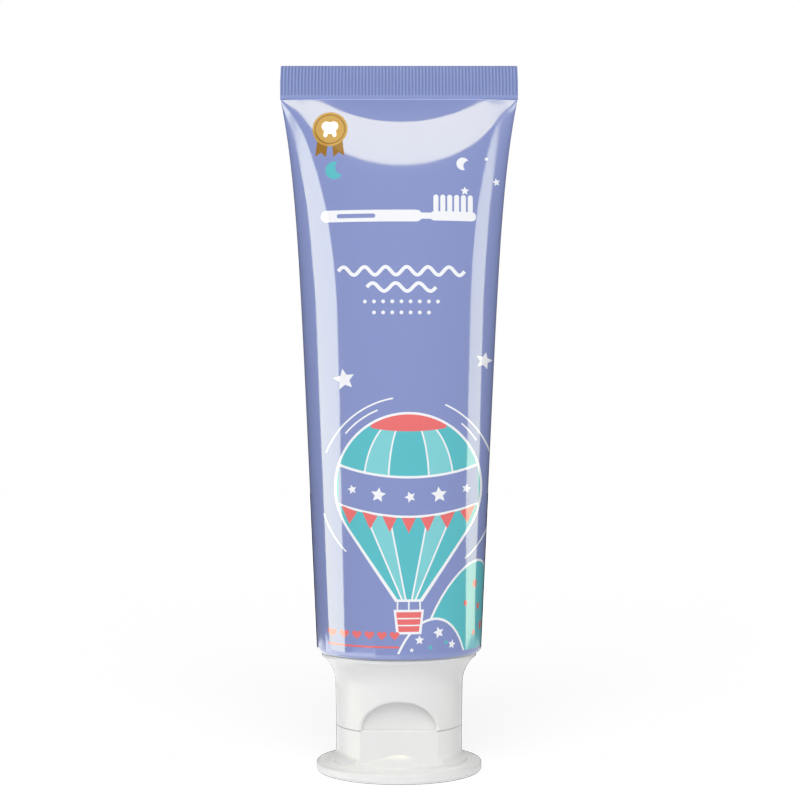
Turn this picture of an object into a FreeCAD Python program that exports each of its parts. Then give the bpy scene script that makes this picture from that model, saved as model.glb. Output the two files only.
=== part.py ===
"""A full toothpaste tube that stands on the flat foot of its flip-top closure.

The frame is in millimetres, with +Z up. The origin is the centre of the foot, on the surface that
the tube stands on. The front, where the thumb opens the lid, faces -Y, and the hinge is at +Y.

From the bottom up there are the lid, the closure's body with its dispensing spout, the moulded head
with its neck and shoulder, the laminate sleeve that is pressed flat at its upper end, and the paste.
"""

import FreeCAD, Part
import math
import os

# Lid: a shallow cup with a round foot flange, flattened at the front for the thumb.
FOOT_DIAMETER = 35.0
FOOT_THICKNESS = 2.2
FOOT_LOWER_ROUND = 0.9
FOOT_UPPER_ROUND = 0.5
FOOT_RING_WIDTH = 4.2
FOOT_HOLLOW_DEPTH = 0.5
LID_HEIGHT = 10.0
LID_FLOOR = 1.5
LID_WALL = 1.3
COLLAR_DIAMETER = 29.2
COLLAR_HEIGHT = 0.9
COLLAR_EDGE_ROUND = 0.25
RAMP_RISE = 2.1
RAMP_BEND_SHARE = 0.38
RAMP_BEND_RISE = 0.45
ROOT_FLARE_REACH = 0.95
ROOT_FLARE_HEIGHT = 1.8
FACET_HALF_WIDTH = 8.1
FACET_EDGE_ROUND = 0.5
PARTING_GAP_HEIGHT = 0.25
PARTING_GAP_DEPTH = 0.6

# Closure body: a waisted skirt that flares out under the sleeve.
WAIST_DIAMETER = 26.7
WAIST_DRAFT = 0.15
BODY_WALL = 1.2
BODY_HEIGHT = 15.2
FLARE_HEIGHT = 5.9
FLARE_RIM = 0.6
FLARE_INSET = 1.1
DECK_THICKNESS = 1.4
RIB_COUNT = 8
RIB_THICKNESS = 0.8
RIB_DROP = 2.5

# Thumb scoop: an arch in the body's skirt, deeper than the lid's flat, so that the lid's edge shows.
ARCH_HALF_WIDTH = 7.65
ARCH_HEIGHT = 6.3
ARCH_SIDE_HEIGHT = 0.2
ARCH_EDGE_ROUND = 0.5

# Dispensing spout with the lid's sealing pin, and the rim that the lid closes around.
ORIFICE_DIAMETER = 4.4
SPOUT_WALL = 1.4
SPOUT_LENGTH = 4.0
SPOUT_TAPER = 0.4
PIN_CLEARANCE = 0.15
PIN_DEPTH = 2.2
PIN_TAPER = 0.6
PIN_TIP_BEVEL = 0.4
PIN_FOOT_FLARE = 0.6
RIM_HEIGHT = 1.2
RIM_WALL = 1.0
RIM_CLEARANCE = 0.15

# Living hinge at the rear.
HINGE_WIDTH = 9.0
HINGE_STANDOFF = 0.25
HINGE_FILM = 0.35
HINGE_BEND = 0.25
HINGE_LAND_HEIGHT = 2.5
HINGE_LAND_GAP = 0.15

# Tube head: a cone with a neck that the closure holds, and a shoulder that the sleeve is bonded to.
NECK_BORE = 9.2
NECK_WALL = 1.5
BEAD_DEPTH = 0.5
BEAD_LAND = 0.4
BEAD_RAMP = 0.9
BEAD_SET_BACK = 2.2
NECK_CLEARANCE = 0.15
SKIRT_WALL = 1.3
SKIRT_GAP = 0.6
SEAL_LIP_HEIGHT = 2.0
SEAL_LIP_WALL = 0.8
SEAL_CLEARANCE = 0.2
SHOULDER_DROP = 2.4
SHOULDER_THICKNESS = 1.3
SHOULDER_BOND = 1.0
SHOULDER_GAP = 0.25

# Sleeve: round at the shoulder, flat at the crimp.
TUBE_DIAMETER = 35.0
SLEEVE_LENGTH = 117.55
SLEEVE_WALL = 0.4
SLEEVE_EDGE_ROUND = 0.9
SLEEVE_LIP = 1.5
SIDE_FLARE_SHARE = 0.32
SIDE_FLARE_POWER = 7.5
SECTION_COUNT = 13
CAVITY_SHARE = 0.995

# Crimp: both walls pressed together and embossed with fine upright ribs.
CRIMP_WIDTH = 50.7
CRIMP_HEIGHT = 7.0
CRIMP_THICKNESS = 1.0
CRIMP_RIB_PITCH = 0.714
CRIMP_RIB_DEPTH = 0.16
CRIMP_CORNER_ROUND = 0.9

# Paste: the sleeve is filled up to a small headspace below the crimp.
HEADSPACE = 9.0

# Derived radii and heights.
foot_radius = FOOT_DIAMETER / 2
waist_radius = WAIST_DIAMETER / 2
tube_radius = TUBE_DIAMETER / 2
facet_y = -math.sqrt(waist_radius**2 - FACET_HALF_WIDTH**2)
collar_radius = COLLAR_DIAMETER / 2
collar_z = FOOT_THICKNESS + COLLAR_HEIGHT
lid_inner_radius = waist_radius - LID_WALL
lid_inner_facet_y = facet_y + LID_WALL
scoop_y = lid_inner_facet_y + RIM_CLEARANCE
parting_z = LID_HEIGHT
deck_z = parting_z + DECK_THICKNESS
body_top_z = parting_z + BODY_HEIGHT
flare_start_z = body_top_z - FLARE_RIM - FLARE_HEIGHT
flare_radius = tube_radius - FLARE_INSET
sleeve_bottom_z = body_top_z + SHOULDER_GAP
ring_top_z = sleeve_bottom_z + SLEEVE_WALL + SHOULDER_BOND
crimp_z = sleeve_bottom_z + SLEEVE_LENGTH
orifice_radius = ORIFICE_DIAMETER / 2
neck_bore_radius = NECK_BORE / 2
neck_radius = neck_bore_radius + NECK_WALL
skirt_bore_radius = neck_radius + NECK_CLEARANCE
skirt_radius = skirt_bore_radius + SKIRT_WALL
neck_root_z = sleeve_bottom_z - SHOULDER_DROP
lip_radius = tube_radius - SLEEVE_LIP
hinge_y = waist_radius + HINGE_STANDOFF
spout_mouth_z = parting_z - SPOUT_LENGTH
lid_floor_z = FOOT_HOLLOW_DEPTH + LID_FLOOR
FAR = 4 * (foot_radius + tube_radius)
TINY = 1e-4


def point(r, z):
    """A point of a turned profile."""
    return FreeCAD.Vector(r, 0, z)


def line(a, b):
    return Part.LineSegment(a, b).toShape()


def arc(a, middle, b):
    return Part.Arc(a, middle, b).toShape()


def corner_arc(centre_r, centre_z, radius, start_deg, end_deg):
    """An arc of a turned profile, from one angle to another, counted from +r towards +z."""
    places = []
    for deg in (start_deg, (start_deg + end_deg) / 2, end_deg):
        angle = math.radians(deg)
        places.append(point(centre_r + radius * math.cos(angle), centre_z + radius * math.sin(angle)))
    return arc(*places)


def turned(edges):
    """The solid that a closed profile sweeps when it turns about Z."""
    face = Part.Face(Part.Wire(edges))
    return face.revolve(FreeCAD.Vector(0, 0, 0), FreeCAD.Vector(0, 0, 1), 360)


def turned_polygon(pairs):
    corners = [point(r, z) for r, z in pairs]
    corners.append(corners[0])
    return turned([line(a, b) for a, b in zip(corners, corners[1:])])


def block(x0, x1, y0, y1, z0, z1):
    return Part.makeBox(x1 - x0, y1 - y0, z1 - z0, FreeCAD.Vector(x0, y0, z0))


def cylinder(radius, z0, z1):
    return Part.makeCylinder(radius, z1 - z0, FreeCAD.Vector(0, 0, z0))


def flattened_disc(radius, flat_y, z0, z1):
    """A round disc cut flat at the front, at flat_y."""
    return cylinder(radius, z0, z1).common(block(-FAR, FAR, flat_y, FAR, z0, z1))


def edges_where(shape, test):
    return [edge for edge in shape.Edges if test(edge)]


def is_front_corner(edge):
    """Upright edges where a round wall meets its flat front."""
    box = edge.BoundBox
    return box.XLength < TINY and box.YLength < TINY and box.YMax < 0


# Lid


def flat_front(back_y, front_y, top_z):
    """The space behind the lid's flat front, stepped back at the shadow gap."""
    ledge_z = top_z - PARTING_GAP_HEIGHT
    corners = [
        FreeCAD.Vector(-FAR, front_y, 0),
        FreeCAD.Vector(-FAR, front_y, ledge_z),
        FreeCAD.Vector(-FAR, front_y + PARTING_GAP_DEPTH, ledge_z),
        FreeCAD.Vector(-FAR, front_y + PARTING_GAP_DEPTH, top_z),
        FreeCAD.Vector(-FAR, back_y, top_z),
        FreeCAD.Vector(-FAR, back_y, 0),
    ]
    corners.append(corners[0])
    return Part.Face(Part.makePolygon(corners)).extrude(FreeCAD.Vector(2 * FAR, 0, 0))


def lid_stem():
    """The upright wall of the lid, flared at its root, flat in front, with a shadow gap at the parting."""
    bend = (ROOT_FLARE_REACH**2 + ROOT_FLARE_HEIGHT**2) / (2 * ROOT_FLARE_REACH)
    sweep = math.degrees(math.asin(ROOT_FLARE_HEIGHT / bend))
    bend_z = collar_z + ROOT_FLARE_HEIGHT - 0.5 * COLLAR_EDGE_ROUND
    root_r = waist_radius + ROOT_FLARE_REACH
    root_z = bend_z - ROOT_FLARE_HEIGHT
    ledge_z = LID_HEIGHT - PARTING_GAP_HEIGHT
    gap_r = waist_radius - PARTING_GAP_DEPTH
    edges = [
        line(point(0, FOOT_HOLLOW_DEPTH), point(root_r, FOOT_HOLLOW_DEPTH)),
        line(point(root_r, FOOT_HOLLOW_DEPTH), point(root_r, root_z)),
        corner_arc(waist_radius + bend, bend_z, bend, 180 + sweep, 180),
        line(point(waist_radius, bend_z), point(waist_radius, ledge_z)),
        line(point(waist_radius, ledge_z), point(gap_r, ledge_z)),
        line(point(gap_r, ledge_z), point(gap_r, LID_HEIGHT)),
        line(point(gap_r, LID_HEIGHT), point(0, LID_HEIGHT)),
        line(point(0, LID_HEIGHT), point(0, FOOT_HOLLOW_DEPTH)),
    ]
    stem = turned(edges).common(flat_front(FAR, facet_y, LID_HEIGHT))

    def is_facet_corner(edge):
        box = edge.BoundBox
        in_facet = box.YLength < TINY and abs(box.YMin - facet_y) < TINY
        return in_facet and box.ZLength > 4 * PARTING_GAP_HEIGHT and box.ZMin > collar_z

    return stem.makeFillet(FACET_EDGE_ROUND, edges_where(stem, is_facet_corner))


def lid_collar():
    """The round collar on the flange, and the hollow ramp that runs from it up to the flat front."""
    low = FOOT_THICKNESS - FOOT_UPPER_ROUND
    ramp_r = collar_radius - COLLAR_EDGE_ROUND
    inner_r = -facet_y - 0.1
    bend_r = inner_r + RAMP_BEND_SHARE * (ramp_r - inner_r)
    top_z = collar_z + RAMP_RISE
    edges = [
        line(point(0, low), point(collar_radius, low)),
        line(point(collar_radius, low), point(collar_radius, collar_z - COLLAR_EDGE_ROUND)),
        corner_arc(ramp_r, collar_z - COLLAR_EDGE_ROUND, COLLAR_EDGE_ROUND, 0, 90),
        arc(point(ramp_r, collar_z), point(bend_r, collar_z + RAMP_BEND_RISE), point(inner_r, top_z)),
        line(point(inner_r, top_z), point(0, top_z)),
        line(point(0, top_z), point(0, low)),
    ]
    return turned(edges)


def lid_foot():
    """The round flange that the tube stands on, hollowed a little so that only a ring touches."""
    outer = foot_radius
    ring = foot_radius - FOOT_RING_WIDTH
    low = FOOT_LOWER_ROUND
    high = FOOT_UPPER_ROUND
    edges = [
        line(point(0, FOOT_HOLLOW_DEPTH), point(ring - FOOT_HOLLOW_DEPTH, FOOT_HOLLOW_DEPTH)),
        line(point(ring - FOOT_HOLLOW_DEPTH, FOOT_HOLLOW_DEPTH), point(ring, 0)),
        line(point(ring, 0), point(outer - low, 0)),
        corner_arc(outer - low, low, low, -90, 0),
        line(point(outer, low), point(outer, FOOT_THICKNESS - high)),
        corner_arc(outer - high, FOOT_THICKNESS - high, high, 0, 90),
        line(point(outer - high, FOOT_THICKNESS), point(0, FOOT_THICKNESS)),
        line(point(0, FOOT_THICKNESS), point(0, FOOT_HOLLOW_DEPTH)),
    ]
    return turned(edges)


def sealing_pin():
    """The tapered pin on the lid's floor that closes the spout."""
    root_z = lid_floor_z - 0.5 * LID_FLOOR
    tip_z = spout_mouth_z + PIN_DEPTH
    radius = orifice_radius - PIN_CLEARANCE
    tip_radius = radius - PIN_TAPER
    return turned_polygon(
        [
            (0, root_z),
            (radius + PIN_FOOT_FLARE, root_z),
            (radius + PIN_FOOT_FLARE, lid_floor_z),
            (radius, spout_mouth_z),
            (tip_radius, tip_z - PIN_TIP_BEVEL),
            (tip_radius - PIN_TIP_BEVEL, tip_z),
            (0, tip_z),
        ]
    )


def hinge_land(z0, z1):
    """The flat pad at the rear that carries one end of the hinge film."""
    half = HINGE_WIDTH / 2
    return block(-half, half, lid_inner_radius + 0.5 * LID_WALL, hinge_y, z0, z1)


def make_lid():
    foot = lid_foot()
    cavity = flattened_disc(lid_inner_radius, lid_inner_facet_y, lid_floor_z, LID_HEIGHT)
    shell = foot.fuse([lid_collar(), lid_stem()]).cut(cavity)
    land = hinge_land(LID_HEIGHT - HINGE_LAND_HEIGHT, LID_HEIGHT - HINGE_LAND_GAP)
    return shell.fuse([sealing_pin(), land]).removeSplitter()


# Closure body


def body_outline(inset, bottom_z):
    """The waisted form that flares up to its rim, shrunk by inset, from bottom_z upwards."""
    low_r = waist_radius - inset
    high_r = waist_radius + WAIST_DRAFT - inset
    reach = flare_radius - waist_radius - WAIST_DRAFT
    bend = (reach**2 + FLARE_HEIGHT**2) / (2 * reach)
    sweep = math.degrees(math.asin(FLARE_HEIGHT / bend))
    flare = corner_arc(high_r + bend, flare_start_z, bend, 180, 180 - sweep)
    rim_r = high_r + reach
    rim_z = flare_start_z + FLARE_HEIGHT
    edges = [
        line(point(0, bottom_z), point(low_r, bottom_z)),
        line(point(low_r, bottom_z), point(high_r, flare_start_z)),
        flare,
        line(point(rim_r, rim_z), point(rim_r, body_top_z)),
        line(point(rim_r, body_top_z), point(0, body_top_z)),
        line(point(0, body_top_z), point(0, bottom_z)),
    ]
    return turned(edges)


def arch_tool(grow, back_y):
    """An upright arch of upright sides and a round head, pushed in from the front to back_y."""
    half = ARCH_HALF_WIDTH + grow
    spring_z = parting_z + ARCH_SIDE_HEIGHT
    rise = ARCH_HEIGHT - ARCH_SIDE_HEIGHT + grow
    centre = FreeCAD.Vector(0, -FAR, spring_z)
    along_x = FreeCAD.Vector(half, -FAR, spring_z)
    along_z = FreeCAD.Vector(0, -FAR, spring_z + rise)
    longer, shorter = (along_x, along_z) if half >= rise else (along_z, along_x)
    head = Part.Face(Part.Wire(Part.Ellipse(longer, shorter, centre).toShape()))
    head = head.extrude(FreeCAD.Vector(0, back_y + FAR, 0))
    head = head.common(block(-FAR, FAR, -FAR, back_y, spring_z, FAR))
    sides = block(-half, half, -FAR, back_y, parting_z - ARCH_HEIGHT, spring_z)
    return head.fuse(sides).removeSplitter()


def shoulder_underside_z(radius):
    """Height of the head's cone above a given radius."""
    slope = SHOULDER_DROP / (lip_radius - neck_radius)
    return sleeve_bottom_z - slope * (lip_radius - radius)


def body_ribs(cavity):
    """Upright webs that stiffen the skirt, trimmed to the space inside it."""
    top = flare_start_z - RIB_DROP
    webs = []
    for index in range(RIB_COUNT):
        web = block(
            skirt_radius - 0.5 * SKIRT_WALL, FAR, -RIB_THICKNESS / 2, RIB_THICKNESS / 2, deck_z, top
        )
        turn = 360.0 * (index + 0.5) / RIB_COUNT
        web.rotate(FreeCAD.Vector(0, 0, 0), FreeCAD.Vector(0, 0, 1), turn)
        webs.append(web.common(cavity))
    return webs


def is_arch_mouth(edge):
    """Edges of the thumb scoop where it breaks through the round skirt."""
    box = edge.BoundBox
    in_front = box.YMax < scoop_y - ARCH_EDGE_ROUND
    above_parting = box.ZMax > parting_z + TINY
    within_arch = box.ZMax < parting_z + ARCH_HEIGHT + TINY and box.XMax < ARCH_HALF_WIDTH + TINY
    return in_front and above_parting and within_arch


def neck_bead(grow):
    """The ramped snap bead round the neck, grown on every side for the groove that takes it."""
    crest = neck_radius + BEAD_DEPTH + grow
    low = deck_z + BEAD_SET_BACK - grow
    high = low + 2 * grow + BEAD_RAMP + BEAD_LAND + BEAD_DEPTH
    return turned_polygon(
        [
            (neck_bore_radius, low),
            (neck_radius, low),
            (crest, low + BEAD_RAMP),
            (crest, high - BEAD_DEPTH),
            (neck_radius, high),
            (neck_bore_radius, high),
        ]
    )


def neck_skirt():
    """The inner skirt that snaps over the neck, with the lip that seals inside its bore."""
    top_z = shoulder_underside_z(skirt_radius) - SKIRT_GAP
    lip_radius_out = neck_bore_radius - SEAL_CLEARANCE
    lip_top_z = deck_z + SEAL_LIP_HEIGHT
    skirt = cylinder(skirt_radius, deck_z, top_z)
    skirt = skirt.cut([cylinder(skirt_bore_radius, deck_z, top_z), neck_bead(NECK_CLEARANCE)])
    lip = cylinder(lip_radius_out, deck_z, lip_top_z)
    lip = lip.cut(cylinder(lip_radius_out - SEAL_LIP_WALL, deck_z, lip_top_z))
    return [skirt, lip]


def spout():
    root_radius = orifice_radius + SPOUT_WALL
    tip_radius = root_radius - SPOUT_TAPER
    return Part.makeCone(tip_radius, root_radius, SPOUT_LENGTH, FreeCAD.Vector(0, 0, spout_mouth_z))


def closing_rim():
    """The low rim under the deck that the lid's wall closes around."""
    radius = lid_inner_radius - RIM_CLEARANCE
    low_z = parting_z - RIM_HEIGHT
    outer = flattened_disc(radius, scoop_y, low_z, parting_z)
    return outer.cut(flattened_disc(radius - RIM_WALL, scoop_y + RIM_WALL, low_z, parting_z))


def make_body():
    skin = body_outline(0, parting_z).cut(arch_tool(0, scoop_y))
    skin = skin.makeFillet(ARCH_EDGE_ROUND, edges_where(skin, is_arch_mouth))
    cavity = body_outline(BODY_WALL, deck_z)
    cavity = cavity.cut(arch_tool(BODY_WALL, scoop_y + BODY_WALL))
    land = hinge_land(parting_z + HINGE_LAND_GAP, parting_z + HINGE_LAND_HEIGHT)
    added = [spout(), closing_rim(), land] + neck_skirt() + body_ribs(cavity)
    whole = skin.cut(cavity).fuse(added)
    return whole.cut(cylinder(orifice_radius, 0, deck_z)).removeSplitter()


def make_hinge_film():
    """The thin strap between the two rear pads, bent round the hinge's axis while the lid is shut."""
    half = HINGE_WIDTH / 2
    inner = HINGE_BEND
    outer = HINGE_BEND + HINGE_FILM
    along_x = FreeCAD.Vector(1, 0, 0)
    start = FreeCAD.Vector(-half, hinge_y, parting_z)
    ring = Part.makeCylinder(outer, HINGE_WIDTH, start, along_x)
    ring = ring.cut(Part.makeCylinder(inner, HINGE_WIDTH, start, along_x))
    return ring.common(block(-half, half, hinge_y, hinge_y + outer, parting_z - outer, parting_z + outer))


# Tube head


def neck_channel():
    """The space inside the head: the neck's bore and the funnel above it."""
    return turned_polygon(
        [
            (0, deck_z),
            (neck_bore_radius, deck_z),
            (neck_bore_radius, neck_root_z + SHOULDER_THICKNESS),
            (lip_radius - 0.5 * SHOULDER_THICKNESS, ring_top_z),
            (0, ring_top_z),
        ]
    )


def make_head():
    inner_wall = tube_radius - SLEEVE_WALL
    inner_round = SLEEVE_EDGE_ROUND - SLEEVE_WALL
    rest_z = sleeve_bottom_z + SLEEVE_WALL
    edges = [
        line(point(0, deck_z), point(neck_radius, deck_z)),
        line(point(neck_radius, deck_z), point(neck_radius, neck_root_z)),
        line(point(neck_radius, neck_root_z), point(lip_radius, sleeve_bottom_z)),
        line(point(lip_radius, sleeve_bottom_z), point(lip_radius, rest_z)),
        line(point(lip_radius, rest_z), point(inner_wall - inner_round, rest_z)),
        corner_arc(inner_wall - inner_round, rest_z + inner_round, inner_round, -90, 0),
        line(point(inner_wall, rest_z + inner_round), point(inner_wall, ring_top_z)),
        line(point(inner_wall, ring_top_z), point(0, ring_top_z)),
        line(point(0, ring_top_z), point(0, deck_z)),
    ]
    return turned(edges).fuse(neck_bead(0)).cut(neck_channel()).removeSplitter()


# Sleeve


def half_width(share):
    """Half of the sleeve's width, at a share of the way from the shoulder to the crimp."""
    bow = (1 - SIDE_FLARE_SHARE) * share + SIDE_FLARE_SHARE * share**SIDE_FLARE_POWER
    return tube_radius + (CRIMP_WIDTH / 2 - tube_radius) * bow


def girth(a, b):
    """Length round an oval with half axes a and b."""
    return math.pi * (3 * (a + b) - math.sqrt((3 * a + b) * (a + 3 * b)))


def half_depth(share):
    """Half of the sleeve's thickness: the wall bends but hardly stretches, so its girth sets it."""
    a = half_width(share)
    round_girth = girth(tube_radius, tube_radius)
    flat_girth = girth(CRIMP_WIDTH / 2, CRIMP_THICKNESS / 2)
    wanted = round_girth + (flat_girth - round_girth) * share
    low, high = 0.0, a
    for _ in range(60):
        middle = (low + high) / 2
        if girth(a, middle) < wanted:
            low = middle
        else:
            high = middle
    return (low + high) / 2


def oval(a, b, z):
    return Part.Wire(Part.Ellipse(FreeCAD.Vector(0, 0, z), a, min(b, a)).toShape())


def sleeve_form(wall, last_share):
    """The solid that fills the sleeve's skin from its round end up, moved inwards by wall.

    The sections lie closer together towards the crimp, where the form bends most. The tip of a
    narrow oval bends sharply, so there the inner oval ends further in and keeps the wall whole.
    """
    sections = []
    for index in range(SECTION_COUNT):
        along = index / (SECTION_COUNT - 1)
        share = last_share * (1 - (1 - along) ** 2)
        a = half_width(share)
        b = half_depth(share)
        side_wall = max(wall, wall**2 * a / (2 * b**2))
        z = ring_top_z + share * (crimp_z - ring_top_z)
        sections.append(oval(a - side_wall, b - wall, z))
    return Part.makeLoft(sections, True, False)


def crimp_plate():
    """The pressed end: a wavy plate with upright ribs, rounded at its two upper corners."""
    half = CRIMP_WIDTH / 2
    count = round(CRIMP_WIDTH / CRIMP_RIB_PITCH)
    step = CRIMP_WIDTH / (2 * count)
    wave = [(-half + index * step, CRIMP_RIB_DEPTH / 2 * (-1) ** index) for index in range(2 * count + 1)]
    top_z = crimp_z + CRIMP_HEIGHT
    front = [FreeCAD.Vector(x, y - CRIMP_THICKNESS / 2, crimp_z) for x, y in wave]
    back = [FreeCAD.Vector(x, y + CRIMP_THICKNESS / 2, crimp_z) for x, y in reversed(wave)]
    outline = Part.makePolygon(front + back + front[:1])
    plate = Part.Face(outline).extrude(FreeCAD.Vector(0, 0, CRIMP_HEIGHT))
    trim = block(-half, half, -CRIMP_THICKNESS, CRIMP_THICKNESS, crimp_z, top_z)

    def is_top_corner(edge):
        box = edge.BoundBox
        return box.YLength > CRIMP_THICKNESS and box.XLength < 1e-6 and box.ZMin > top_z - 1e-4

    trim = trim.makeFillet(CRIMP_CORNER_ROUND, edges_where(trim, is_top_corner))
    return plate.common(trim)


def sleeve_ring(wall, round_radius, bottom_z):
    """The round lower end of the sleeve with its rolled edge, as a solid moved inwards by wall."""
    outer = tube_radius - wall
    edges = [
        line(point(0, bottom_z), point(outer - round_radius, bottom_z)),
        corner_arc(outer - round_radius, bottom_z + round_radius, round_radius, -90, 0),
        line(point(outer, bottom_z + round_radius), point(outer, ring_top_z)),
        line(point(outer, ring_top_z), point(0, ring_top_z)),
        line(point(0, ring_top_z), point(0, bottom_z)),
    ]
    return turned(edges)


def make_sleeve_and_cavity():
    skin = sleeve_ring(0, SLEEVE_EDGE_ROUND, sleeve_bottom_z)
    skin = skin.fuse([sleeve_form(0, 1), crimp_plate()])
    inner_round = SLEEVE_EDGE_ROUND - SLEEVE_WALL
    inside = sleeve_ring(SLEEVE_WALL, inner_round, sleeve_bottom_z + SLEEVE_WALL)
    inside = inside.fuse(sleeve_form(SLEEVE_WALL, CAVITY_SHARE))
    sleeve = skin.cut([inside, cylinder(lip_radius, sleeve_bottom_z, ring_top_z)])
    return sleeve, inside


def make_paste(inside):
    """The filling: the sleeve above the head up to the headspace, the funnel and the neck."""
    neck_z = deck_z + SEAL_LIP_HEIGHT + SEAL_CLEARANCE
    above_head = block(-FAR, FAR, -FAR, FAR, ring_top_z, crimp_z - HEADSPACE)
    above_lip = block(-FAR, FAR, -FAR, FAR, neck_z, ring_top_z)
    return inside.common(above_head).fuse(neck_channel().common(above_lip)).removeSplitter()


def write(name, shape):
    if not shape.isValid():
        raise ValueError(name + " is not a valid shape")
    if len(shape.Solids) != 1:
        raise ValueError(name + " is not one solid")
    solid = shape.Solids[0]
    solid.exportStep("parts/" + name + ".step")
    print(name, round(solid.Volume / 1000, 2), "cm3")


def main():
    os.makedirs("parts", exist_ok=True)
    sleeve, inside = make_sleeve_and_cavity()
    write("cap_lid", make_lid())
    write("cap_body", make_body())
    write("living_hinge", make_hinge_film())
    write("tube_head", make_head())
    write("tube_sleeve", sleeve)
    write("toothpaste", make_paste(inside))


main()
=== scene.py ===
"""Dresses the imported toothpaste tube: printed laminate sleeve, white closure, studio light and camera.

Lengths are in millimetres while a shape is worked out, and each mesh is made in metres. +Z is up,
the front faces -Y, and the origin is the centre of the foot that the tube stands on.
"""

import math

import bmesh
import bpy
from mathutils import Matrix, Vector
from mathutils.geometry import delaunay_2d_cdt


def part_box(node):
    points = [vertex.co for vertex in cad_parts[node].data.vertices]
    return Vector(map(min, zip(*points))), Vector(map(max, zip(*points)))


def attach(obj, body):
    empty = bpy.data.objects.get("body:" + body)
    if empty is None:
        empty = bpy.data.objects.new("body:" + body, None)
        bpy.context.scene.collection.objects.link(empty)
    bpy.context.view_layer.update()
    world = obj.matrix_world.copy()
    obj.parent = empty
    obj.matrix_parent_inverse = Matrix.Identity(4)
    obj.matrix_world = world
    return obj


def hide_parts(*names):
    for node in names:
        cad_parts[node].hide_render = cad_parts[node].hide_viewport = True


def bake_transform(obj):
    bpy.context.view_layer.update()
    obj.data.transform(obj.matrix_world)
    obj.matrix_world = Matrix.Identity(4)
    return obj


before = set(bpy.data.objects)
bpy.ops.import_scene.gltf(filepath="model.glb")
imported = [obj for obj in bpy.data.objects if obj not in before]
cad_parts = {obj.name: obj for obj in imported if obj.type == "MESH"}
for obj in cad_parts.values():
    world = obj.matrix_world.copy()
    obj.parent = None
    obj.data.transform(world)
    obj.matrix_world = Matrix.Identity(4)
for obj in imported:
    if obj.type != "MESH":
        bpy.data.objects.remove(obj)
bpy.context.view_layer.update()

MM = 0.001

# Sleeve, read from the frame or repeated from the part's own sizes.
sleeve_low, sleeve_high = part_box("tube_sleeve")
TUBE_RADIUS = sleeve_high[1] / MM
CRIMP_HALF_WIDTH = sleeve_high[0] / MM
CRIMP_HEIGHT = 7.0
CRIMP_HALF_THICKNESS = 0.5
SLEEVE_BOTTOM_Z = sleeve_low[2] / MM
SLEEVE_TOP_Z = sleeve_high[2] / MM
CRIMP_Z = SLEEVE_TOP_Z - CRIMP_HEIGHT
RING_HEIGHT = 1.4
RING_TOP_Z = SLEEVE_BOTTOM_Z + RING_HEIGHT
EDGE_ROUND = 0.9
SLEEVE_WALL = 0.4
LIP_WIDTH = 1.5
LIP_RADIUS = TUBE_RADIUS - LIP_WIDTH
SIDE_FLARE_SHARE = 0.32
SIDE_FLARE_POWER = 7.5
SHEET_HALF = math.pi * TUBE_RADIUS

# Mesh density of the sleeve. A share of the rows is spaced evenly, the rest closer towards the crimp.
SHEET_COLUMNS = 168
SHEET_ROWS = 96
ROWS_EVEN = 0.55
ROWS_CLOSER = 0.45
WALL_ROWS = 24

# How far below the crimp the inner wall ends.
INNER_END = 1.2

# Crimp: ribs of flat land and narrow groove, with the grooves in a darker ink as painted shade, a plain
# border below them, and a bright crease under it in a light ink as a painted highlight.
RIB_COUNT = 71
RIB_STEPS = 8
RIB_DEPTH = 0.14
GROOVE_SHARE = 0.5
RIB_FADE = 0.35
CRIMP_LAND = 0.5
CREASE_LOW = 0.32
CREASE_HIGH = 0.06
CRIMP_CORNER = 0.5

# Lap seam at the rear, where the laminate's two edges overlap, and half of the band round it that
# doesn't take the smooth sleeve's normals.
SEAM_HALF_WIDTH = 1.1
SEAM_STEP = 0.12
SEAM_BAND = 1.6 * SEAM_HALF_WIDTH

# Hinge strap: its thickness at the ends, and how much thinner and narrower it is in the middle.
HINGE_FILM = 0.35
HINGE_THINNING = 0.1
HINGE_WAIST = 0.06

# Camera, in metres, and its field of view from pixels of the 800-pixel frame.
CAMERA_DISTANCE = 0.4055
CAMERA_HEIGHT = 0.07875
CAMERA_SIDE = 0.0002
FRAME_HALF_PIXELS = 400
DISTANCE_PIXELS = 1900

# Soft boxes and world, in metres and watts.
MIDDLE = Vector((0, 0, 0.08))
SOFTBOX_SIZE = 0.9
FRONT_SOFTBOX = (-0.04, -0.95, 0.72)
FRONT_POWER = 7.4
REAR_SOFTBOX = (0, 0.95, 0.72)
REAR_POWER = 5.0
AMBIENT = 0.44
FLOOR_HALF = 1.2

# Long highlights on the sleeve, as seen in the plane through its axis: height, then the two edges.
LEFT_STRIP = (
    (24.6, -14.8, -11.5),
    (27.3, -14.9, -11.6),
    (57.0, -16.1, -12.3),
    (79.0, -17.0, -12.7),
    (100.0, -17.8, -13.3),
    (108.6, -18.5, -14.0),
    (119.3, -19.5, -15.5),
    (126.8, -20.8, -17.4),
    (132.1, -21.7, -19.1),
    (135.9, -22.4, -20.6),
    (139.8, -23.0, -22.8),
)
RIGHT_STRIP = (
    (24.6, 14.2, 16.1),
    (40.0, 14.3, 16.3),
    (57.0, 14.3, 17.0),
    (79.0, 14.8, 17.4),
    (100.0, 15.3, 18.0),
    (108.6, 15.7, 18.5),
    (119.3, 16.7, 19.3),
    (126.8, 18.0, 20.2),
    (132.1, 19.1, 20.8),
    (135.9, 20.3, 21.2),
    (139.3, 21.5, 21.7),
)
# Wider highlights on the closure, given in the same way at the strips' lower end.
LEFT_LOW = (24.6, -15.6, -5.0)
RIGHT_LOW = (24.6, 14.2, 16.1)
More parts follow.
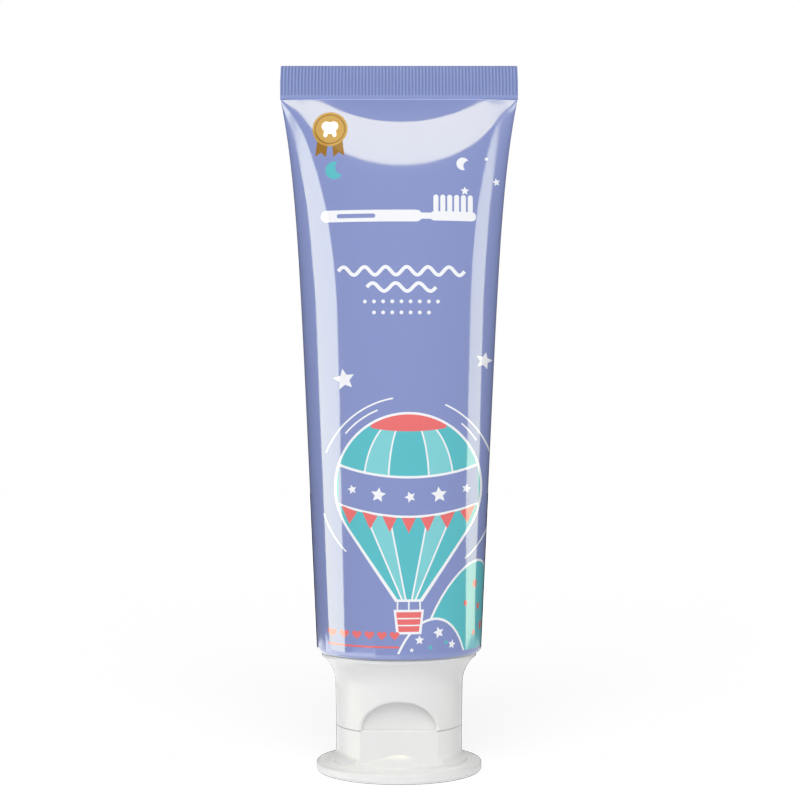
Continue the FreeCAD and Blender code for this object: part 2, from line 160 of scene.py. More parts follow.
# The crescent under the crimp: a circular upper edge and an elliptical lower one.
CRESCENT_U = 0.4
CRESCENT_TOP_HALF = 18.0
CRESCENT_TOP_RADIUS = 35.8
CRESCENT_TOP_Z = 138.1
CRESCENT_LOW_HALF = 22.0
CRESCENT_HALF = 22.8
CRESCENT_MIDDLE_Z = 146.0
CRESCENT_DROP = 17.1
# Cards in the studio: their distance, and the share of light that the varnish mirrors head on.
CARD_DISTANCE = 0.6
VARNISH_MIRROR = 0.04
LOW_CARD_DROP = 0.4
SURROUND_DISTANCE = 0.8
FLOOR_ELEVATION = -11.9
STRIP_TINT = (1, 0.99, 0.7)
CRESCENT_TINT = (1, 0.93, 0.54)
# Strength of each card's glow. The table cards lie below the tube and light the closure's gloss.
LEFT_STRIP_GLOW = 10.1
RIGHT_STRIP_GLOW = 8.0
CRESCENT_GLOW = 11.5
LEFT_LOW_GLOW = 5.0
RIGHT_LOW_GLOW = 1.0
SURROUND_GLOW = 0.05
LEFT_TABLE_GLOW = 2.2
RIGHT_TABLE_GLOW = 1.0

# Colours as they look in plain light, in sRGB.
PERIWINKLE = (141, 153, 204)
RIB_PERIWINKLE = (140, 154, 203)
# Darker than the ribs: painted shade in the crimp's grooves.
GROOVE_SHADE_PERIWINKLE = (119, 133, 183)
# Lighter than the sleeve: a painted highlight along the crease under the crimp.
CREASE_GLINT_PERIWINKLE = (176, 188, 234)
WHITE_INK = (247, 248, 252)
TEAL = (98, 195, 204)
LIGHT_TEAL = (134, 213, 218)
CORAL = (240, 120, 120)
GOLD = (196, 154, 78)
DARK_GOLD = (156, 114, 50)
CLOSURE_WHITE = (232, 232, 232)
HEAD_WHITE = (232, 232, 230)
PASTE_WHITE = (236, 244, 242)


def linear(rgb):
    """A colour from 0..255 sRGB to the linear values that a shader takes."""
    out = []
    for value in rgb:
        share = value / 255
        out.append(share / 12.92 if share <= 0.04045 else ((share + 0.055) / 1.055) ** 2.4)
    return (*out, 1.0)


# Sleeve form


def half_width(share):
    """Half of the sleeve's width at a share of the way from its round end to the crimp."""
    bow = (1 - SIDE_FLARE_SHARE) * share + SIDE_FLARE_SHARE * share**SIDE_FLARE_POWER
    return TUBE_RADIUS + (CRIMP_HALF_WIDTH - TUBE_RADIUS) * bow


def girth(a, b):
    return math.pi * (3 * (a + b) - math.sqrt((3 * a + b) * (a + 3 * b)))


def half_depth(share):
    """Half of the sleeve's thickness, from a girth that hardly changes."""
    a = half_width(share)
    round_girth = girth(TUBE_RADIUS, TUBE_RADIUS)
    flat_girth = girth(CRIMP_HALF_WIDTH, CRIMP_HALF_THICKNESS)
    wanted = round_girth + (flat_girth - round_girth) * share
    low, high = 0.0, a
    for _ in range(50):
        middle = (low + high) / 2
        if girth(a, middle) < wanted:
            low = middle
        else:
            high = middle
    return (low + high) / 2


class Law:
    """The sleeve's half axes by height, kept in a fine list so that each is worked out once."""

    STEPS = 600

    def __init__(self):
        shares = [index / self.STEPS for index in range(self.STEPS + 1)]
        self.pairs = [(half_width(share), half_depth(share)) for share in shares]

    def axes(self, z):
        place = (z - RING_TOP_Z) / (CRIMP_Z - RING_TOP_Z) * self.STEPS
        place = min(max(place, 0.0), self.STEPS - 1e-6)
        index = int(place)
        rest = place - index
        (a0, b0), (a1, b1) = self.pairs[index], self.pairs[index + 1]
        return a0 + (a1 - a0) * rest, b0 + (b1 - b0) * rest

    def slopes(self, z):
        """How fast the two half axes change with height."""
        step = 0.3
        low = max(z - step, RING_TOP_Z)
        high = min(z + step, CRIMP_Z)
        (a0, b0), (a1, b1) = self.axes(low), self.axes(high)
        return (a1 - a0) / (high - low), (b1 - b0) / (high - low)


law = Law()


def skin_point(p, z, inset=0.0):
    """The place on the sleeve of a point of the flat sheet, moved inwards by inset."""
    a, b = law.axes(z)
    t = p / TUBE_RADIUS
    proud = seam_rise(p)
    return Vector(((a - inset + proud) * math.sin(t), -(b - inset + proud) * math.cos(t), z))


def seam_rise(p):
    """How far the overlapping edge at the rear stands out."""
    beyond = abs(p) - (SHEET_HALF - SEAM_HALF_WIDTH)
    return SEAM_STEP if beyond > -1e-6 else 0.0


def skin_normal(point):
    """The outward direction of the smooth sleeve at a point of it."""
    a, b = law.axes(point.z)
    da, db = law.slopes(point.z)
    along_z = -(point.x**2 * da / a**3 + point.y**2 * db / b**3)
    return Vector((point.x / a**2, point.y / b**2, along_z)).normalized()


# Outlines on the flat sheet


def front(outline):
    """Moves an outline that is drawn as seen from the front to the flat sheet."""
    out = []
    for x, z in split_long_edges(outline):
        a, _ = law.axes(z)
        out.append((TUBE_RADIUS * math.asin(max(-0.999, min(0.999, x / a))), z))
    return out


def signed_area(outline):
    """The area inside an outline, below zero when it runs clockwise."""
    pairs = zip(outline, outline[1:] + outline[:1])
    return sum(x0 * z1 - x1 * z0 for (x0, z0), (x1, z1) in pairs) / 2


def is_inside(outline, p, z):
    inside = False
    for (p0, z0), (p1, z1) in zip(outline, outline[1:] + outline[:1]):
        if (z0 > z) != (z1 > z) and p < p0 + (z - z0) / (z1 - z0) * (p1 - p0):
            inside = not inside
    return inside


def split_long_edges(outline, longest=1.2):
    """Adds points along the outline, so that it follows the sleeve's curve."""
    out = []
    for (p0, z0), (p1, z1) in zip(outline, outline[1:] + outline[:1]):
        parts = math.ceil(math.hypot(p1 - p0, z1 - z0) / longest)
        out += [(p0 + (p1 - p0) * i / parts, z0 + (z1 - z0) * i / parts) for i in range(max(parts, 1))]
    return out


def oval(x, z, rx, rz, steps=48):
    turns = [2 * math.pi * index / steps for index in range(steps)]
    return [(x + rx * math.cos(turn), z + rz * math.sin(turn)) for turn in turns]


def disc(x, z, r, steps=32):
    return oval(x, z, r, r, steps)


def band(p_low, p_high, z_low, z_high):
    return [(p_low, z_low), (p_high, z_low), (p_high, z_high), (p_low, z_high)]


def star(x, z, r, turn_deg=0.0):
    out = []
    for index in range(10):
        reach = r if index % 2 == 0 else r * STAR_WAIST
        angle = math.radians(90 + turn_deg) + math.pi * index / 5
        out.append((x + reach * math.cos(angle), z + reach * math.sin(angle)))
    return out


def heart(x, z, r, steps=24):
    out = []
    for index in range(steps):
        turn = 2 * math.pi * index / steps
        across = math.sin(turn) ** 3
        weights = (13, -5, -2, -1)
        up = sum(weight * math.cos((i + 1) * turn) for i, weight in enumerate(weights)) / 16
        out.append((x + r * across, z + r * up))
    return out


def capsule(x0, z0, x1, z1, width, steps=8):
    """A straight bar with round ends."""
    along = math.atan2(z1 - z0, x1 - x0)
    r = width / 2
    out = []
    for cx, cz, start in ((x1, z1, along - math.pi / 2), (x0, z0, along + math.pi / 2)):
        for index in range(steps + 1):
            angle = start + math.pi * index / steps
            out.append((cx + r * math.cos(angle), cz + r * math.sin(angle)))
    return out


def stroke(points, width):
    """A line of even width along a list of points."""
    left, right = [], []
    for index, (x, z) in enumerate(points):
        x0, z0 = points[max(index - 1, 0)]
        x1, z1 = points[min(index + 1, len(points) - 1)]
        reach = math.hypot(x1 - x0, z1 - z0)
        nx, nz = -(z1 - z0) / reach * width / 2, (x1 - x0) / reach * width / 2
        left.append((x + nx, z + nz))
        right.append((x - nx, z - nz))
    return left + right[::-1]


def arc_stroke(x, z, r, start_deg, end_deg, width, steps=24):
    angles = [math.radians(start_deg + (end_deg - start_deg) * i / steps) for i in range(steps + 1)]
    return stroke([(x + r * math.cos(a), z + r * math.sin(a)) for a in angles], width)


def crescent(x, z, r, turn_deg, steps=20):
    """A moon: the outer edge runs round 260 degrees, and a flatter arc closes it."""
    half = math.radians(130)
    turn = math.radians(turn_deg)
    outer = [(-half + 2 * half * i / steps) for i in range(steps + 1)]
    out = [(r * math.cos(a), r * math.sin(a)) for a in outer]
    tip_x, tip_z = r * math.cos(half), r * math.sin(half)
    inner_x = tip_x - 0.35 * r
    inner_r = math.hypot(tip_x - inner_x, tip_z)
    sweep = math.atan2(tip_z, tip_x - inner_x)
    for i in range(1, steps):
        a = sweep - 2 * sweep * i / steps
        out.append((inner_x + inner_r * math.cos(a), inner_r * math.sin(a)))
    c, s = math.cos(turn), math.sin(turn)
    return [(x + u * c - v * s, z + u * s + v * c) for u, v in out]


# Print: each entry is an ink and an outline on the flat sheet, and a later one lies on top.
BALLOON_X = 2.0
BALLOON_Z = 60.8
BALLOON_RADIUS = 15.0
BALLOON_SHOULDER_DEG = 125
BALLOON_MOUTH = 2.3
GORE_INNER = 0.28
GORE_OUTER = 0.62
BELT_SAG = 2.4
CROWN_DEPTH = 2.6
OUTLINE = 0.5
STAR_WAIST = 0.48


def balloon_half(z):
    """Half of the balloon's width at a height: a circle above, a cone down to its mouth below."""
    shoulder = math.radians(BALLOON_SHOULDER_DEG)
    shoulder_z = BALLOON_Z + BALLOON_RADIUS * math.cos(shoulder)
    if z >= shoulder_z:
        return math.sqrt(max(BALLOON_RADIUS**2 - (z - BALLOON_Z) ** 2, 0.0))
    return BALLOON_RADIUS * math.sin(shoulder) - (z - shoulder_z) / math.tan(shoulder)


def balloon_mouth_z():
    shoulder = math.radians(BALLOON_SHOULDER_DEG)
    shoulder_z = BALLOON_Z + BALLOON_RADIUS * math.cos(shoulder)
    return shoulder_z + (BALLOON_RADIUS * math.sin(shoulder) - BALLOON_MOUTH) * math.tan(shoulder)


def balloon_outline(grow):
    shoulder = math.radians(BALLOON_SHOULDER_DEG)
    steps = 28
    r = BALLOON_RADIUS + grow
    angles = [shoulder * index / steps for index in range(1, steps + 1)]
    right = [(BALLOON_X + r * math.sin(a), BALLOON_Z + r * math.cos(a)) for a in angles]
    mouth = (BALLOON_X + BALLOON_MOUTH + grow, balloon_mouth_z() - grow)
    left = [(2 * BALLOON_X - x, z) for x, z in right + [mouth]]
    return [(BALLOON_X, BALLOON_Z + r)] + right + [mouth] + left[::-1]


def belt_edge(z, sag, steps=20):
    """A line round the balloon, as it looks from the front."""
    out = []
    for index in range(steps + 1):
        u = -1 + 2 * index / steps
        level = z - sag * (1 - u * u)
        out.append((BALLOON_X + u * balloon_half(level), level))
    return out


def belt(z_high, z_low):
    return belt_edge(z_high, BELT_SAG) + belt_edge(z_low, BELT_SAG)[::-1]


def draw_balloon(add):
    add("white", front(balloon_outline(OUTLINE)))
    add("teal", front(balloon_outline(0)))
    top_z, mouth_z = BALLOON_Z + BALLOON_RADIUS, balloon_mouth_z()
    levels = [top_z + (mouth_z - top_z) * index / 40 for index in range(1, 41)]
    for inner, outer in ((GORE_INNER, GORE_OUTER), (-GORE_OUTER, -GORE_INNER)):
        side = [(BALLOON_X + outer * balloon_half(z), z) for z in levels]
        back = [(BALLOON_X + inner * balloon_half(z), z) for z in reversed(levels)]
        add("light_teal", front(side + back))
    for share in (-GORE_OUTER, -GORE_INNER, GORE_INNER, GORE_OUTER):
        line = [(BALLOON_X + share * balloon_half(z), z) for z in levels]
        add("white", front(stroke(line, 0.34)))
    belt_high, belt_low = BALLOON_Z + 4.2, BALLOON_Z - 3.4
    add("white", front(belt(belt_high + OUTLINE, belt_low - OUTLINE)))
    add("periwinkle", front(belt(belt_high, belt_low)))
    for u, r, turn in ((-0.78, 1.0, 12), (-0.42, 1.6, -8), (0.02, 1.2, 20), (0.42, 1.7, 5), (0.8, 1.0, -14)):
        level = (belt_high + belt_low) / 2 - BELT_SAG * (1 - u * u)
        add("white", front(star(BALLOON_X + u * balloon_half(level), level, r, turn)))
    draw_bunting(add, belt_low - OUTLINE)
    crown = belt_edge(top_z - CROWN_DEPTH, 0.9)
    cap = [q for q in balloon_outline(0) if q[1] > top_z - CROWN_DEPTH]
    cap.sort(reverse=True)
    add("coral", front(cap + crown[1:-1]))
    draw_basket(add, mouth_z)


def draw_bunting(add, z):
    """Small pennants that hang from the belt."""
    count = 7
    edge = belt_edge(z, BELT_SAG, steps=2 * count)
    for index in range(count):
        (x0, z0), (xm, zm), (x1, z1) = edge[2 * index], edge[2 * index + 1], edge[2 * index + 2]
        inset = 0.12 * (x1 - x0)
        add("coral", front([(x0 + inset, z0), (xm, zm - 3.1), (x1 - inset, z1)]))


def draw_basket(add, mouth_z):
    top, low, half = mouth_z - 2.6, mouth_z - 6.6, 2.6
    for side in (-1, 0, 1):
        rope = [(BALLOON_X + side * BALLOON_MOUTH, mouth_z), (BALLOON_X + side * half * 0.9, top)]
        add("white", front(stroke(rope, 0.32)))
    for ink, grow in (("white", OUTLINE), ("coral", 0)):
        corners = [
            (BALLOON_X - half - grow, top + grow),
            (BALLOON_X - half * 0.8 - grow, low - grow),
            (BALLOON_X + half * 0.8 + grow, low - grow),
            (BALLOON_X + half + grow, top + grow),
        ]
        add(ink, front(corners))
    for z in (top - 1.3, top - 2.7):
        add("white", front(stroke([(BALLOON_X - half * 0.9, z), (BALLOON_X + half * 0.9, z)], 0.28)))


def draw_breeze(add):
    """Thin arcs of moving air round the balloon."""
    reach = BALLOON_RADIUS + 3.6
    arcs = ((100, 158, 0), (112, 140, -1.5), (22, 66, 0), (198, 226, 0), (-52, -28, 0.4), (34, 50, -1.5))
    for start, end, grow in arcs:
        add("white", front(arc_stroke(BALLOON_X, BALLOON_Z, reach + grow, start, end, 0.34)))


def draw_hills(add):
    """Rounded hills along the lower edge that run on round the rear."""
    hills = (
        (44.0, 13.0, 17.0, 17.5, "light_teal"),
        (-42.0, 13.0, 15.0, 16.0, "light_teal"),
        (31.0, 14.0, 12.0, 20.0, "teal"),
        (-31.5, 14.0, 9.0, 15.5, "teal"),
        (19.5, 14.0, 16.5, 31.0, "teal"),
        (7.5, 15.0, 9.6, 18.6, "periwinkle"),
    )
    for p, z, rx, rz, ink in hills:
        add("white", oval(p, z, rx + OUTLINE, rz + OUTLINE, 64))
        add(ink, oval(p, z, rx, rz, 64))
    patch = (
        (4.2, 29.6, 1.0, 0, "white"),
        (8.4, 31.0, 1.25, 15, "white"),
        (11.7, 28.4, 1.0, -10, "white"),
        (6.6, 28.0, 0.6, 20, "teal"),
        (10.2, 28.9, 0.55, 0, "teal"),
        (2.6, 27.6, 0.5, 0, "white"),
    )
    for p, z, r, turn, ink in patch:
        add(ink, star(p, z, r, turn))
    dots = (
        (15.4, 36.6, 0.6),
        (18.6, 40.4, 0.9),
        (20.6, 35.6, 0.7),
        (22.8, 31.4, 1.0),
        (18.9, 30.2, 0.6),
        (25.6, 37.0, 0.8),
    )
    for p, z, r in dots:
        add("coral", disc(p, z, r, 20))


def draw_toothbrush(add):
    """A plain brush that lies across the upper front."""
    z = 117.2
    add("white", front(capsule(-15.2, z, 3.6, z, 2.5)))
    add("white", front(capsule(2.0, z, 9.0, z, 1.3)))
    add("white", front(capsule(7.4, z, 15.2, z, 2.0)))
    add("periwinkle", front(capsule(-12.6, z, -5.4, z, 0.9)))
    for index in range(6):
        x = 7.7 + 1.45 * index
        add("white", front(capsule(x, z + 1.2, x, z + 4.0, 1.05)))


def draw_waves(add):
    """Two wavy lines and two rows of dots under the brush, and a row of hearts low on the left."""
    for z, half, turns in ((105.6, 13.2, 6), (102.2, 7.2, 3)):
        steps = 16 * turns
        turn = 2 * math.pi * turns / steps
        wave = [(0.5 - half + 2 * half * i / steps, z + 0.85 * math.sin(turn * i)) for i in range(steps + 1)]
        add("white", front(stroke(wave, 0.75)))
    for z, count in ((99.2, 9), (96.9, 7)):
        for index in range(count):
            add("white", front(disc(0.5 + 1.9 * (index - (count - 1) / 2), z, 0.4, 16)))
    for index in range(6):
        add("coral", front(heart(-13.9 + 2.6 * index, 30.6, 1.0)))
    add("coral", front(stroke([(-14.8, 28.2), (0.0, 28.2)], 0.4)))


def draw_medal(add):
    """A plain gold roundel with a tooth on it and two short ribbons."""
    x, z = -14.6, 136.0
    for side in (-1, 1):
        ribbon = [(0.3, -2.0), (2.6, -1.6), (3.1, -5.9), (1.9, -5.1), (0.8, -6.1)]
        add("dark_gold", front([(x + side * u, z + v) for u, v in ribbon]))
    add("gold", front(disc(x, z, 3.75, 48)))
    add("dark_gold", front(disc(x, z, 3.3, 48)))
    add("gold", front(disc(x, z, 3.0, 48)))
    for side in (-1, 1):
        add("white", front(disc(x + side * 0.72, z + 0.62, 1.05, 24)))
        add("white", front(capsule(x + side * 0.72, z + 0.2, x + side * 0.95, z - 1.35, 0.85)))
    add("white", front(disc(x, z + 0.2, 1.3, 24)))


def draw_sky(add):
    """Stars and small moons, on the front and round the rear."""
    add("white", front(star(-11.4, 83.0, 2.3, 10)))
    add("white", front(star(13.8, 122.6, 0.95, 0)))
    add("white", front(star(20.6, 124.8, 0.9, 12)))
    add("white", front(disc(18.4, 129.6, 0.35, 12)))
    add("teal", front(crescent(-13.6, 127.0, 1.9, 200)))
    add("white", front(crescent(13.4, 128.4, 1.35, 160)))
    add("white", front(star(17.9, 87.0, 1.9, -14)))
    rear = ((27, 60, 1.1), (-27, 52, 1.0), (34, 84, 1.7), (-33, 71, 1.6), (42, 63, 1.0), (-44, 92, 1.2),
            (29, 108, 1.0), (-30, 104, 1.3), (46, 112, 1.4), (-40, 120, 0.9), (38, 128, 0.8), (-47, 58, 0.9))
    for index, (p, z, r) in enumerate(rear):
        add("white", star(p, z, r, 17 * index))


def printed_outlines():
    """Every printed outline, in the order in which the inks lie on each other."""
    outlines = []

    def add(ink, outline):
        fine = split_long_edges(outline)
        outlines.append((ink, fine if signed_area(fine) > 0 else fine[::-1]))

    seam = SHEET_HALF - SEAM_HALF_WIDTH
    for side in (-1, 1):
        edge = side * seam
        add("white", band(edge - 0.12, edge + 0.12, RING_TOP_Z, CRIMP_Z))
    # A thin light band just under the crimp: a painted highlight along the crease.
    add("crease_glint", band(-seam, seam, CRIMP_Z - CREASE_LOW, CRIMP_Z - CREASE_HIGH))
    for draw in (draw_breeze, draw_hills, draw_balloon, draw_toothbrush, draw_waves, draw_medal, draw_sky):
        draw(add)
    return outlines


# Among the inks, the groove ink is painted shade in the crimp's grooves, and the crease ink a painted
# highlight under the crimp.
INKS = ["periwinkle", "white", "teal", "light_teal", "coral", "gold", "dark_gold", "rib", "groove", "crease_glint"]


# Materials


def new_material(name):
    material = bpy.data.materials.new(name)
    material.use_nodes = True
    nodes = material.node_tree.nodes
    nodes.clear()
    shader = nodes.new("ShaderNodeBsdfPrincipled")
    output = nodes.new("ShaderNodeOutputMaterial")
    material.node_tree.links.new(shader.outputs["BSDF"], output.inputs["Surface"])
    return material, shader


def noise(material, scale, detail=3.0):
    """Noise in the object's own place, so it stays on the surface in every view."""
    nodes, links = material.node_tree.nodes, material.node_tree.links
    place = nodes.new("ShaderNodeTexCoord")
    texture = nodes.new("ShaderNodeTexNoise")
    texture.inputs["Scale"].default_value = scale
    texture.inputs["Detail"].default_value = detail
    links.new(place.outputs["Object"], texture.inputs["Vector"])
    return texture.outputs["Fac"]


def spread(material, value, low, high):
    """Maps a noise value to a range."""
    nodes, links = material.node_tree.nodes, material.node_tree.links
    mapping = nodes.new("ShaderNodeMapRange")
    mapping.inputs["From Min"].default_value = 0.3
    mapping.inputs["From Max"].default_value = 0.7
    mapping.inputs["To Min"].default_value = low
    mapping.inputs["To Max"].default_value = high
    links.new(value, mapping.inputs["Value"])
    return mapping.outputs["Result"]


def tint(material, shader, value, rgb, change):
    """Lets a colour vary by a small share either way."""
    nodes, links = material.node_tree.nodes, material.node_tree.links
    mix = nodes.new("ShaderNodeMix")
    mix.data_type = "RGBA"
    base = linear(rgb)
    mix.inputs["A"].default_value = (*[c * (1 - change) for c in base[:3]], 1)
    mix.inputs["B"].default_value = (*[min(c * (1 + change), 1) for c in base[:3]], 1)
    links.new(value, mix.inputs["Factor"])
    links.new(mix.outputs["Result"], shader.inputs["Base Color"])


def bump(material, shader, value, distance):
    nodes, links = material.node_tree.nodes, material.node_tree.links
    node = nodes.new("ShaderNodeBump")
    node.inputs["Strength"].default_value = 1.0
    node.inputs["Distance"].default_value = distance
    links.new(value, node.inputs["Height"])
    links.new(node.outputs["Normal"], shader.inputs["Normal"])


def ink_material(name, rgb, coat=1.0, roughness=0.3, specular=0.02):
    """Ink on the laminate, with its gloss varnish as a coat."""
    material, shader = new_material(name)
    shader.inputs["Coat Weight"].default_value = coat
    shader.inputs["Coat Roughness"].default_value = 0.06
    shader.inputs["Specular IOR Level"].default_value = specular
    tint(material, shader, noise(material, 45, 2), rgb, 0.004)
    finish = spread(material, noise(material, 300, 1), roughness - 0.02, roughness + 0.02)
    material.node_tree.links.new(finish, shader.inputs["Roughness"])
    bump(material, shader, noise(material, 700, 1), 0.000003)
    return material


def moulded_material(name, rgb, roughness=0.38):
    """Moulded polypropylene: a soft sheen, slight translucence and a fine spark-eroded grain."""
    material, shader = new_material(name)
    shader.inputs["Specular IOR Level"].default_value = 0.4
    shader.inputs["Sheen Weight"].default_value = 0.2
    shader.inputs["Sheen Roughness"].default_value = 0.4
    shader.inputs["Subsurface Weight"].default_value = 0.12
    shader.inputs["Subsurface Radius"].default_value = (1.0, 0.95, 0.9)
    shader.inputs["Subsurface Scale"].default_value = 0.0008
    tint(material, shader, noise(material, 60, 2), rgb, 0.01)
    finish = spread(material, noise(material, 700), roughness - 0.05, roughness + 0.05)
    material.node_tree.links.new(finish, shader.inputs["Roughness"])
    bump(material, shader, noise(material, 2600, 2), 0.000006)
    return material


def paste_material():
    material, shader = new_material("paste")
    shader.inputs["Subsurface Weight"].default_value = 0.3
    shader.inputs["Subsurface Radius"].default_value = (1.0, 1.0, 1.0)
    shader.inputs["Subsurface Scale"].default_value = 0.001
    tint(material, shader, noise(material, 150), PASTE_WHITE, 0.015)
    finish = spread(material, noise(material, 500), 0.22, 0.32)
    material.node_tree.links.new(finish, shader.inputs["Roughness"])
    bump(material, shader, noise(material, 350), 0.00003)
    return material


# Meshes


def finished_object(name, points_mm, faces, materials, material_of=None):
    mesh = bpy.data.meshes.new(name)
    mesh.from_pydata([Vector(point) * MM for point in points_mm], [], faces)
    for material in materials:
        mesh.materials.append(material)
    if material_of is not None:
        mesh.polygons.foreach_set("material_index", material_of)
    mesh.polygons.foreach_set("use_smooth", [True] * len(mesh.polygons))
    mesh.update()
    item = bpy.data.objects.new(name, mesh)
    bpy.context.scene.collection.objects.link(item)
    return item


class Shell:
    """Points and faces of a mesh under construction, with a material number for each face."""

    def __init__(self):
        self.points = []
        self.faces = []
        self.inks = []

    def add_point(self, point):
        self.points.append(point)
        return len(self.points) - 1

    def add_face(self, face, ink=0):
        self.faces.append(face)
        self.inks.append(ink)

    def bridge(self, ring, other):
        """Joins two closed rings of points with quads."""
        count = len(ring)
        for index in range(count):
            after = (index + 1) % count
            self.add_face([ring[index], ring[after], other[after], other[index]])


class InkFinder:
    """Tells which ink lies on top at a place of the flat sheet."""

    def __init__(self, outlines):
        self.entries = []
        for ink, outline in reversed(outlines):
            ps, zs = [p for p, _ in outline], [z for _, z in outline]
            self.entries.append((INKS.index(ink), min(ps), max(ps), min(zs), max(zs), outline))

    def ink_at(self, p, z):
        for ink, p_low, p_high, z_low, z_high, outline in self.entries:
            if p_low < p < p_high and z_low < z < z_high and is_inside(outline, p, z):
                return ink
        return 0


def cut_sheet():
    """The flat sheet as triangles, cut along every printed outline.

    Returns the sheet's points, its triangles, and the ink number of each triangle.
    """
    columns = [-SHEET_HALF + 2 * SHEET_HALF * i / SHEET_COLUMNS for i in range(SHEET_COLUMNS + 1)]
    rows = []
    for i in range(SHEET_ROWS + 1):
        along = i / SHEET_ROWS
        share = ROWS_EVEN * along + ROWS_CLOSER * (1 - (1 - along) ** 2)
        rows.append(RING_TOP_Z + (CRIMP_Z - RING_TOP_Z) * share)
    points = [Vector((p, z)) for z in rows for p in columns]
    wide, tall = SHEET_COLUMNS + 1, SHEET_ROWS + 1
    border = list(range(wide))
    border += [row * wide + wide - 1 for row in range(1, tall)]
    border += [(tall - 1) * wide + col for col in range(wide - 2, -1, -1)]
    border += [row * wide for row in range(tall - 2, 0, -1)]
    outlines = printed_outlines()
    faces = [border]
    for _, outline in outlines:
        start = len(points)
        points.extend(Vector(q) for q in outline)
        faces.append(list(range(start, len(points))))
    cut_points, _, cut_faces, _, _, _ = delaunay_2d_cdt(points, [], faces, 1, 1e-4, False)
    finder = InkFinder(outlines)
    triangles, inks = [], []
    for face in cut_faces:
        p, z = sum((cut_points[index] for index in face), Vector((0, 0))) / 3
        if RING_TOP_Z < z < CRIMP_Z and abs(p) < SHEET_HALF:
            triangles.append(list(face))
            inks.append(finder.ink_at(p, z))
    return cut_points, triangles, inks


def add_printed_skin(shell):
    """The outer skin with its print. Returns its lower and upper rings of points."""
    sheet, triangles, inks = cut_sheet()
    used = sorted({index for face in triangles for index in face})
    number = {}
    place = {}
    for index in used:
        p, z = sheet[index]
        at_seam = abs(abs(p) - SHEET_HALF) < 1e-3
        key = ("seam", round(z, 3)) if at_seam else index
        if key not in place:
            place[key] = shell.add_point(skin_point(SHEET_HALF if at_seam else p, z))
        number[index] = place[key]
    for face, ink in zip(triangles, inks):
        corners = [number[index] for index in face]
        if len(set(corners)) == 3:
            shell.add_face(corners, ink)

    def ring_at(level):
        found = {}
        for index in used:
            p, z = sheet[index]
            if abs(z - level) < 1e-3 and p < SHEET_HALF - 1e-3:
                found[number[index]] = p
        return sorted(found, key=found.get), sorted(found.values())

    return ring_at(RING_TOP_Z), ring_at(CRIMP_Z)


def add_oval_ring(shell, places, a, b, z):
    """A level ring of points with half axes a and b, one for each place along the sheet."""
    turns = [p / TUBE_RADIUS for p in places]
    return [shell.add_point(Vector((a * math.sin(t), -b * math.cos(t), z))) for t in turns]


def add_rolled_edge(shell, ring, places):
    """The rounded lower edge and the lip that the head is bonded to. Returns the last ring."""
    profile = [(TUBE_RADIUS, SLEEVE_BOTTOM_Z + EDGE_ROUND)]
    for index in range(1, 9):
        angle = math.pi / 2 * index / 8
        r = TUBE_RADIUS - EDGE_ROUND + EDGE_ROUND * math.cos(angle)
        profile.append((r, SLEEVE_BOTTOM_Z + EDGE_ROUND - EDGE_ROUND * math.sin(angle)))
    inner_round = EDGE_ROUND - SLEEVE_WALL
    floor_z = SLEEVE_BOTTOM_Z + SLEEVE_WALL
    profile += [(LIP_RADIUS, SLEEVE_BOTTOM_Z), (LIP_RADIUS, floor_z)]
    for index in range(5):
        angle = math.pi / 2 * index / 4
        r = TUBE_RADIUS - SLEEVE_WALL - inner_round + inner_round * math.sin(angle)
        profile.append((r, floor_z + inner_round - inner_round * math.cos(angle)))
    for r, z in profile:
        following = add_oval_ring(shell, places, r, r, z)
        shell.bridge(ring, following)
        ring = following
    return ring


def add_inner_wall(shell, ring, places):
    """The inside of the sleeve up to just below the crimp, closed there."""
    top_z = CRIMP_Z - INNER_END
    for index in range(WALL_ROWS + 1):
        along = index / WALL_ROWS
        z = RING_TOP_Z + (top_z - RING_TOP_Z) * (1 - (1 - along) ** 2)
        a, b = law.axes(z)
        # A flat oval turns sharply at its sides, so the wall needs more room there.
        side = max(SLEEVE_WALL, SLEEVE_WALL**2 * a / (2 * b**2))
        inner = add_oval_ring(shell, places, a - side, b - SLEEVE_WALL, z)
        shell.bridge(ring, inner)
        ring = inner
    shell.add_face(ring)


def rib_wave(x):
    """How far the embossing pushes the plate back: flat ribs with narrow grooves between them."""
    place = RIB_COUNT * (x + CRIMP_HALF_WIDTH) / (2 * CRIMP_HALF_WIDTH) % 1
    return RIB_DEPTH * max(0.0, 1 - abs(place - 0.5) / (GROOVE_SHARE / 2))


